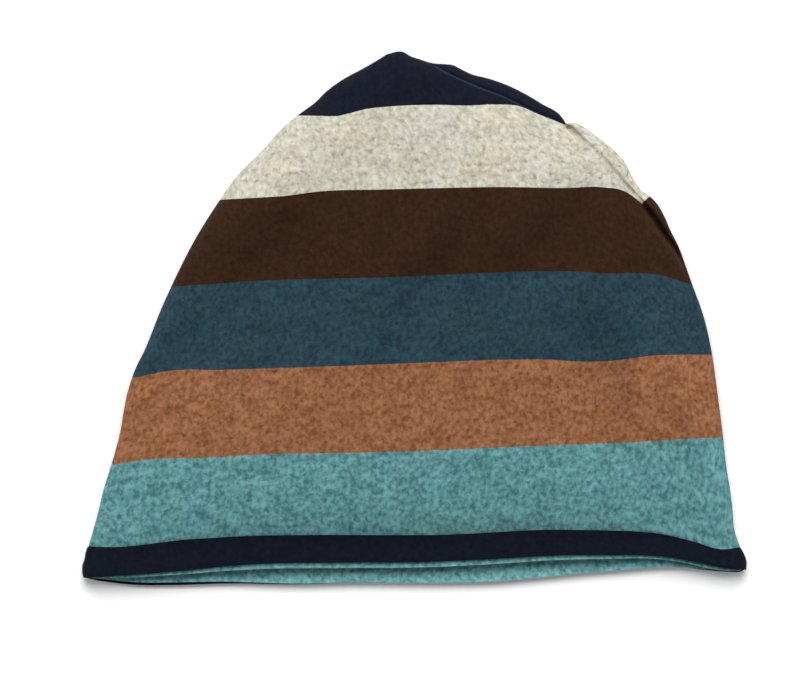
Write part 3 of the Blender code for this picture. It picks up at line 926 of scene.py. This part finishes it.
@dataclass(frozen=True)
class JerseyFinish:
    """Fine jersey: heather yarns in stripes, a knitted face and a soft sheen.

    Stitches, borders and the painted seam highlight are sized in millimetres. A range is the part of a
    cloud over which one yarn or tone gives way to the other.
    """

    name: str
    yarns: tuple[Yarn, ...]
    gain: float = 0.81
    wale: float = 0.85
    course: float = 0.70
    leg_share: float = 0.3
    stitch_depth: float = 0.15
    relief: float = 0.30
    ragged: float = 0.30
    # Millimetres from the seam over which the painted seam highlight fades out
    highlight_edge: tuple[float, float] = (0.48, 0.68)
    roughness: float = 0.92
    specular: float = 0.03
    sheen: float = 0.02
    sheen_roughness: float = 0.5
    warm: Colour = (1.005, 1.0, 0.955)
    cool: Colour = (0.985, 1.0, 1.035)
    fibres: Cloud = Cloud(510.0, 420.0, 0.0, 3.0)
    fibre_range: tuple[float, float] = (0.31, 0.69)
    patches: Cloud = Cloud(110.0, 150.0, 7.0)
    patch_share: float = 0.5
    specks: Cloud = Cloud(400.0, 430.0, 11.0, 1.0)
    speck_range: tuple[float, float] = (0.55, 0.80)
    speck_most: float = 0.95
    tones: Cloud = Cloud(45.0, 60.0, 17.0)
    tone_range: tuple[float, float] = (0.35, 0.65)
    jitter: Cloud = Cloud(1100.0, 500.0, 3.0, 1.0)
    fuzz: Cloud = Cloud(900.0, 900.0, 5.0, 1.0)

    def material(self) -> bpy.types.Material:
        """Builds the finish.

        Returns:
            A material that reads the piece's cloth map.
        """
        bench = NodeBench(self.name)
        source = bench.add("ShaderNodeUVMap", uv_map=CLOTH_MAP)
        parts = bench.add("ShaderNodeSeparateXYZ")
        bench.join(source.outputs[0], parts.inputs[0])
        along, up = parts.outputs[0], parts.outputs[1]
        bench.join(self._colour(bench, along, up), bench.shader.inputs["Base Color"])
        bench.join(self._bump(bench, along, up), bench.shader.inputs["Normal"])
        bench.shader.inputs["Roughness"].default_value = self.roughness
        bench.shader.inputs["Specular IOR Level"].default_value = self.specular
        bench.shader.inputs["Sheen Weight"].default_value = self.sheen
        bench.shader.inputs["Sheen Roughness"].default_value = self.sheen_roughness
        LOG.info("%s: %s", self.name, ", ".join(yarn.name for yarn in self.yarns))
        return bench.material

    def _stripes(self, bench: NodeBench, borders: list[Socket], colours: list[Colour]) -> Socket | Colour:
        """Colour of the stripe that a place lies in.

        Args:
            bench: the material's nodes.
            borders: for each border, whether the place lies above it.
            colours: the stripes' screen colours, from the mouth up.

        Returns:
            The linear colour.
        """
        found = linear(colours[0], self.gain)
        for border, colour in zip(borders, colours[1:]):
            found = bench.mix(border, found, linear(colour, self.gain))
        return found

    def _colour(self, bench: NodeBench, along: Socket, up: Socket) -> Socket:
        """Heather colour: fine flecks over slow patches of light and dark, and a painted highlight along
        the crown seam.

        Args:
            bench: the material's nodes.
            along: metres along the courses.
            up: metres up the cloth.

        Returns:
            The colour.
        """
        height = bench.add("ShaderNodeAttribute", attribute_name=CLOTH_HEIGHT).outputs["Fac"]
        jitter = bench.math("SUBTRACT", self.jitter.read(bench, along, up), 0.5)
        edge = bench.math("MULTIPLY_ADD", jitter, self.ragged * MM, height)
        borders = [bench.math("GREATER_THAN", edge, yarn.end * MM) for yarn in self.yarns[:-1]]
        dark = self._stripes(bench, borders, [yarn.dark for yarn in self.yarns])
        light = self._stripes(bench, borders, [yarn.light for yarn in self.yarns])
        fleck = self._stripes(bench, borders, [yarn.fleck for yarn in self.yarns])
        patch = bench.math("SUBTRACT", self.patches.read(bench, along, up), 0.5)
        blend = bench.math("MULTIPLY_ADD", patch, self.patch_share, self.fibres.read(bench, along, up))
        body = bench.mix(bench.spread(blend, *self.fibre_range), dark, light)
        specks = self.specks.read(bench, along, up)
        body = bench.mix(bench.spread(specks, *self.speck_range, 0.0, self.speck_most), body, fleck)
        tone = bench.spread(self.tones.read(bench, along, up), *self.tone_range)
        body = bench.mix(1.0, body, bench.mix(tone, self.warm, self.cool), "MULTIPLY")
        # Painted highlight: a thin lighter line beside the crown seam on the navy, for light on the seam's
        # edge
        seam = bench.add("ShaderNodeAttribute", attribute_name=SEAM_DISTANCE).outputs["Fac"]
        near, far = self.highlight_edge
        highlight = bench.math("MULTIPLY", bench.spread(seam, near * MM, far * MM, 1.0, 0.0),
                            bench.math("GREATER_THAN", height, CROWN_COURSE * MM))
        return bench.mix(highlight, body, linear(SEAM_HIGHLIGHT, self.gain))

    def _bump(self, bench: NodeBench, along: Socket, up: Socket) -> Socket:
        """Relief of the knitted face: columns of small V stitches.

        Args:
            bench: the material's nodes.
            along: metres along the courses.
            up: metres up the cloth.

        Returns:
            The bumped normal.
        """
        column = bench.math("PINGPONG", bench.math("DIVIDE", along, self.wale * MM), 0.5)
        lean = bench.math("ADD", bench.math("DIVIDE", up, self.course * MM), column)
        leg = bench.math("SINE", bench.math("MULTIPLY", lean, 2.0 * math.pi))
        crown = bench.math("SINE", bench.math("MULTIPLY", column, 2.0 * math.pi))
        rise = bench.math("MULTIPLY_ADD", leg, self.leg_share, 1.0 - self.leg_share)
        stitch = bench.math("MULTIPLY", rise, crown)
        height = bench.math("ADD", stitch, self.fuzz.read(bench, along, up))
        bump = bench.add("ShaderNodeBump")
        bump.inputs["Strength"].default_value = self.relief
        bump.inputs["Distance"].default_value = self.stitch_depth * MM
        bench.join(height, bump.inputs["Height"])
        return bump.outputs[0]


@dataclass
class StripedShell:
    """The outer layer above the band: a front panel, and a back panel that rolls up to the seam."""

    form: HatForm
    wall: float = 1.2
    gap: float = 0.06
    seam_gap: float = 0.05
    highlight_roll: float = 1.0
    front_columns: int = 190
    front_rows: int = 176
    back_columns: int = 120
    back_rows: int = 140
    strip_columns: int = 20
    nose_rows: int = 8
    left_turn: int = 8
    front_right_turn: int = 14
    back_right_turn: int = 10
    turn_share: float = 0.03
    ease_start: float = 0.7
    ease_run: float = 0.3

    def climb_rows(self, count: int, depth: float) -> np.ndarray:
        """Rows of a panel's face from the band's top to the tip, closer together round the nose.

        Args:
            count: how many even steps there are below the nose.
            depth: how far inside the outer face the face lies.

        Returns:
            One climb for each row.
        """
        start = self.form.band_climb + self.gap / self.form.panel_length
        nose = self.form.edge_roll / self.form.panel_length
        return start + (self.form.top_at(depth) - start) * eased(count, 0, 0.0, self.nose_rows, nose)

    def columns(self, count: int, right_turn: int) -> np.ndarray:
        """Shares across a panel's face, closer together where it rounds the side edges."""
        return eased(count, self.left_turn, self.turn_share, right_turn, self.turn_share)

    def front_face(self, depth: float) -> tuple[np.ndarray, np.ndarray, np.ndarray]:
        """One face of the front panel.

        Args:
            depth: how far inside the outer face it lies.

        Returns:
            Its points, their heights up the cloth and their distances from the crown seam. Where
            the back layer doesn't roll up, the distance is a metre more, and no painted seam highlight
            shows.
        """
        climb = self.climb_rows(self.front_rows, depth)
        across = self.columns(self.front_columns, self.front_right_turn)
        reach = self.form.strip_reach(climb)
        left, right = self.form.ends(climb, depth, self.form.sides(climb)[2] - reach)
        grid = self.form.plan(across, climb, Side.OVER, (left, right))
        width = np.linalg.norm(right - left, axis=1)
        share = across[None, :] * (width / (width + reach))[:, None]
        distance = (1.0 - across)[None, :] * (width * self.form.square(left, right, climb))[:, None]
        height = self.form.over(grid, share, climb, depth) - self.form.valley_at(distance, climb)
        # The painted seam highlight is left off where the back layer rolls out less than this
        unrolled = (self.form.sides(climb)[2] < self.highlight_roll)[:, None]
        return self.form.placed(grid, height), self.form.knit_height(grid), distance * MM + unrolled

    def back_face(self, depth: float) -> Pair:
        """One face of the back panel.

        Args:
            depth: how far inside the outer face it lies.

        Returns:
            Its points and their heights up the cloth, from the crown seam round the right edge and
            under the hat to the left edge.
        """
        climb = self.climb_rows(self.back_rows, depth)
        across = self.columns(self.back_columns, self.back_right_turn)
        reach = self.form.strip_reach(climb) - self.seam_gap - depth
        left, outer = self.form.ends(climb, depth, self.form.sides(climb)[2] - depth)
        grid = self.form.plan(across, climb, Side.UNDER, (left, outer))
        width = np.linalg.norm(outer - left, axis=1)
        half_turn = np.linspace(0.0, math.pi, self.strip_columns)[1:]
        inward = reach[:, None] * 0.5 * (1.0 - np.cos(half_turn))[None, :]
        strip = outer[:, None, :] - self.form.outward(climb)[:, None, :] * inward[..., None]
        strip_height = self.form.over(strip, 1.0 - inward / width[:, None], climb, depth)
        strip_height -= self.form.valley_at(reach[:, None] - inward, climb)
        flat = self.form.placed(grid, self.form.under(grid, climb, depth))
        knit = self._knit(grid, across)
        knit = np.concatenate([knit, np.repeat(knit[:, -1:], strip.shape[1], axis=1)], axis=1)
        points = np.concatenate([flat, self.form.placed(strip, strip_height)], axis=1)
        return points[:, ::-1], knit[:, ::-1]

    def _knit(self, grid: np.ndarray, across: np.ndarray) -> np.ndarray:
        """Height up the cloth on the back panel, whose stripes change in the rolls' notches.

        Args:
            grid: places seen from above.
            across: one share for each column.

        Returns:
            One height up the cloth for each place.
        """
        at_edge = smooth_curve(RIGHT_COURSES, grid[:, -1, 0])
        ease = smooth_step((across - self.ease_start) / self.ease_run)[None, :]
        return self.form.knit_height(grid) * (1.0 - ease) + at_edge[:, None] * ease

    def front(self) -> bpy.types.Object:
        """Builds the front panel, from the left edge to the crown seam."""
        outer, inner = self.front_face(0.0), self.front_face(self.wall)
        return ClothMaker().make("front_panel", (outer[0], inner[0]), (outer[1], inner[1]), outer[2])

    def back(self) -> bpy.types.Object:
        """Builds the back panel, under the hat and round the right edge to the seam."""
        outer, inner = self.back_face(0.0), self.back_face(self.wall)
        return ClothMaker().make("back_panel", (outer[0], inner[0]), (outer[1], inner[1]),
                                 roll_columns=self.strip_columns - 1)

    def build(self) -> list[bpy.types.Object]:
        """Builds and dresses both panels.

        Returns:
            The front panel and the back panel.
        """
        finish = JerseyFinish("striped_jersey", STRIPE_YARNS).material()
        pieces = [self.front(), self.back()]
        for piece, node in zip(pieces, ("front_panel", "back_panel")):
            dress(piece, finish, node)
        return pieces


@dataclass
class HemBand:
    """The navy band: one ring round the mouth."""

    form: HatForm
    wall: float = 1.4
    rounding: float = 0.6
    front_columns: int = 220
    back_columns: int = 160
    rows: int = 16
    turn: int = 8
    turn_share: float = 0.025
    knit_rise: float = 12.0

    def half(self, side: Side, columns: int, depth: float) -> Pair:
        """One face of the band's front or back half.

        Args:
            side: which half it is.
            columns: how many even steps there are across it.
            depth: how far inside the outer face it lies.

        Returns:
            Its points and their heights up the cloth, from left to right.
        """
        climb = self.form.band_climb * np.linspace(0.0, 1.0, self.rows)
        across = eased(columns, self.turn, self.turn_share, self.turn, self.turn_share)
        ends = self.form.ends(climb, depth, np.full_like(climb, -depth))
        grid = self.form.plan(across, climb, side, ends)
        if side is Side.OVER:
            height = self.form.over(grid, np.repeat(across[None], len(climb), axis=0), climb, depth)
        else:
            height = self.form.under(grid, climb, depth)
        knit = np.repeat((climb / self.form.band_climb * self.knit_rise)[:, None], len(across), axis=1)
        return self.form.placed(grid, height), knit

    def face(self, depth: float) -> Pair:
        """One face of the whole ring.

        Args:
            depth: how far inside the outer face it lies.

        Returns:
            Its points and their heights up the cloth.
        """
        over, over_knit = self.half(Side.OVER, self.front_columns, depth)
        under, under_knit = self.half(Side.UNDER, self.back_columns, depth)
        points = np.concatenate([over, under[:, -2:0:-1]], axis=1)
        return points, np.concatenate([over_knit, under_knit[:, -2:0:-1]], axis=1)

    def build(self) -> list[bpy.types.Object]:
        """Builds and dresses the band.

        Returns:
            The band's one piece.
        """
        faces, knits = zip(self.face(0.0), self.face(self.wall))
        piece = ClothMaker(self.rounding).make("hem_band", faces, knits, ring=True)
        dress(piece, JerseyFinish("band_jersey", NAVY_YARN).material(), "hem_band")
        return [piece]


@dataclass
class Lining:
    """The plain lining: its front peeps out below the band, and its back shows in the mouth."""

    form: HatForm
    wall: float = 1.0
    depth: float = 1.75
    rounding: float = 0.35
    rim_rise: float = 0.35
    hem_climb: float = 0.012
    columns: int = 120
    rows: int = 96
    hem_rows: int = 10
    turn: int = 4
    turn_share: float = 0.03
    rim_end: float = 130.0
    rim_fade: float = 12.0
    # Painted light: both gains lift the one teal cloth above the striped cloth's gain, the back's more, to
    # offset the shade in the mouth
    front_painted_gain: float = 1.06
    back_painted_gain: float = 1.28

    def face(self, side: Side, depth: float) -> Pair:
        """One face of one side of the lining.

        Args:
            side: which side it is.
            depth: how far inside the hat's outer face it lies.

        Returns:
            Its points and their heights up the cloth.
        """
        low = np.linspace(0.0, self.hem_climb, self.hem_rows, endpoint=False)
        climb = np.concatenate([low, np.linspace(self.hem_climb, self.form.top_at(depth), self.rows)])
        across = eased(self.columns, self.turn, self.turn_share, self.turn, self.turn_share)
        left, right = self.form.ends(climb, depth, np.full_like(climb, -depth))
        grid = self.form.plan(across, climb, side, (left, right))
        near = np.clip(1.0 - climb / self.hem_climb, 0.0, 1.0)[:, None]
        if side is Side.OVER:
            distance = (1.0 - across)[None, :] * np.linalg.norm(right - left, axis=1)[:, None]
            distance = distance * self.form.square(left, right, climb)[:, None] + depth
            height = self.form.over(grid, np.repeat(across[None], len(climb), axis=0), climb, depth)
            height -= self.form.valley_at(distance, climb)
            middle = smooth_step((self.rim_end - np.abs(grid[..., 0])) / self.rim_fade)
            height += self.rim_rise * near ** 3 * middle
        else:
            height = self.form.under(grid, climb, depth)
        reveal = FRONT_REVEAL if side is Side.OVER else BACK_REVEAL
        grid[..., 1] -= near * smooth_curve(reveal, grid[..., 0])
        knit = self.form.knit_height(grid)
        points = self.form.placed(grid, height)
        return (points, knit) if side is Side.OVER else (points[:, ::-1], knit[:, ::-1])

    def build(self) -> list[bpy.types.Object]:
        """Builds and dresses both sides of the lining.

        Returns:
            The front lining and the back lining.
        """
        pieces = []
        # The back lining is painted lighter than the front, against the shade under the front layer
        plans = (
            (Side.OVER, "lining_front", self.front_painted_gain),
            (Side.UNDER, "lining_back", self.back_painted_gain),
        )
        for side, name, gain in plans:
            faces, knits = zip(self.face(side, self.depth), self.face(side, self.depth + self.wall))
            piece = ClothMaker(self.rounding).make(name, faces, knits)
            finish = JerseyFinish(name + "_jersey", TEAL_YARN, gain=gain)
            dress(piece, finish.material(), name)
            pieces.append(piece)
        return pieces


def dress(piece: bpy.types.Object, finish: bpy.types.Material, node: str) -> None:
    """Gives a piece its finish and its place in the frame.

    Args:
        piece: the piece of cloth.
        finish: its material.
        node: the node of the frame that it stands for.
    """
    piece.data.materials.clear()
    piece.data.materials.append(finish)
    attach(piece, "root")
    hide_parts(node)
    LOG.info("%s: %d faces", piece.name, len(piece.data.polygons))


@dataclass
class Studio:
    """Pale table, soft light from above and a camera that looks straight down, in metres."""

    view_width: float = 0.3377
    centre_x: float = -0.0057
    centre_y: float = -0.0130
    height: float = 6.0
    sensor: float = 36.0
    key_from: tuple[float, float, float] = (0.0, 0.68, 1.0)
    key_power: float = 3.0
    key_softness: float = 45.0
    air_above: float = 0.215
    air_aside: float = 1.65
    air_turn: float = 0.7
    far_clip: float = 100.0
    table_size: float = 60.0
    table_white: float = 0.96
    table_roughness: float = 0.9

    def build(self) -> None:
        """Sets the table, the lights and the camera."""
        self._table()
        self._key()
        self._world()
        self._camera()
        bpy.context.scene.view_settings.view_transform = "Standard"
        LOG.info("studio ready")

    def _table(self) -> None:
        """Adds the pale table."""
        bpy.ops.mesh.primitive_plane_add(size=self.table_size, location=(0.0, 0.0, 0.0))
        table = bpy.context.object
        table.name = "table"
        bench = NodeBench("table_white")
        bench.feed(bench.shader.inputs["Base Color"], (self.table_white,) * 3)
        bench.shader.inputs["Roughness"].default_value = self.table_roughness
        table.data.materials.append(bench.material)

    def _key(self) -> None:
        """Adds the soft key light, which falls from the crown's side."""
        lamp = bpy.data.lights.new("key", "SUN")
        lamp.energy = self.key_power
        lamp.angle = math.radians(self.key_softness)
        holder = bpy.data.objects.new("key", lamp)
        holder.location = self.key_from
        holder.rotation_mode = "QUATERNION"
        holder.rotation_quaternion = Vector(self.key_from).to_track_quat("Z", "Y")
        bpy.context.scene.collection.objects.link(holder)

    def _world(self) -> None:
        """Surrounds the hat with a white tent of light that glows most at its sides."""
        world = bpy.data.worlds.new("studio_air")
        world.use_nodes = True
        nodes, links = world.node_tree.nodes, world.node_tree.links
        parts = nodes.new("ShaderNodeSeparateXYZ")
        links.new(nodes.new("ShaderNodeTexCoord").outputs["Generated"], parts.inputs[0])
        glow = nodes.new("ShaderNodeMapRange")
        glow.inputs["From Max"].default_value = self.air_turn
        glow.inputs["To Min"].default_value = self.air_aside
        glow.inputs["To Max"].default_value = self.air_above
        links.new(parts.outputs[2], glow.inputs["Value"])
        shader = nodes["Background"]
        shader.inputs["Color"].default_value = (1.0, 1.0, 1.0, 1.0)
        links.new(glow.outputs[0], shader.inputs["Strength"])
        bpy.context.scene.world = world

    def _camera(self) -> None:
        """Adds the camera, straight above the hat."""
        data = bpy.data.cameras.new("camera")
        data.sensor_width = self.sensor
        data.lens = self.sensor * self.height / self.view_width
        data.clip_end = self.far_clip
        camera = bpy.data.objects.new("camera", data)
        camera.location = (self.centre_x, self.centre_y, self.height)
        bpy.context.scene.collection.objects.link(camera)
        bpy.context.scene.camera = camera


def main() -> None:
    """Builds the hat piece by piece, then the studio."""
    logging.basicConfig(level=logging.INFO, format="%(name)s: %(message)s")
    form = HatForm()
    StripedShell(form).build()
    HemBand(form).build()
    Lining(form).build()
    Studio().build()


if __name__ == "__main__":
    main()
